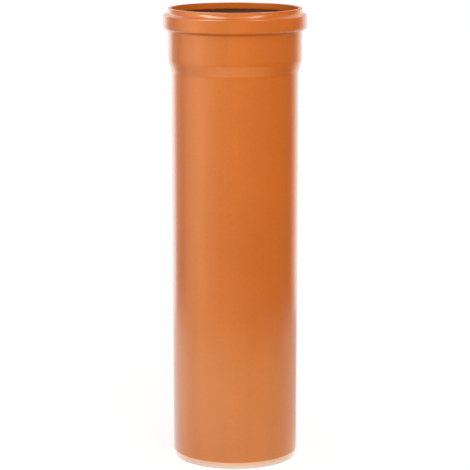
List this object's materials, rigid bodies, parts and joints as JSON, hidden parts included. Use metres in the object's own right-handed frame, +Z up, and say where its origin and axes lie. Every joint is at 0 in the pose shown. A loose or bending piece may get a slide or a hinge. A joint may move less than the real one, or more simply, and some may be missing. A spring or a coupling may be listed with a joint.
{
  "type": "pvc drain pipe with socket",
  "caption": "Short length of orange-brown PVC-U drain pipe, 160 mm across and 500 mm laying length, standing on its chamfered spigot with the push-fit socket and its rubber sealing ring at the top.",
  "frame": {"origin": "centre of the spigot end, on the floor that the pipe stands on", "axes": "+Z up along the pipe's axis, from the spigot end to the socket's mouth; X and Y are any two directions across the round pipe"},
  "size_m": [0.1812, 0.1812, 0.581],
  "materials": {
    "pvc": "extruded PVC-U in orange-brown, smooth and glossy, with faint lines along the pipe",
    "ring_rubber": "black moulded rubber with a light grease sheen"
  },
  "bodies": {
    "root": {"pipe": "pvc", "sealing_ring": "ring_rubber"}
  },
  "joints": []
}
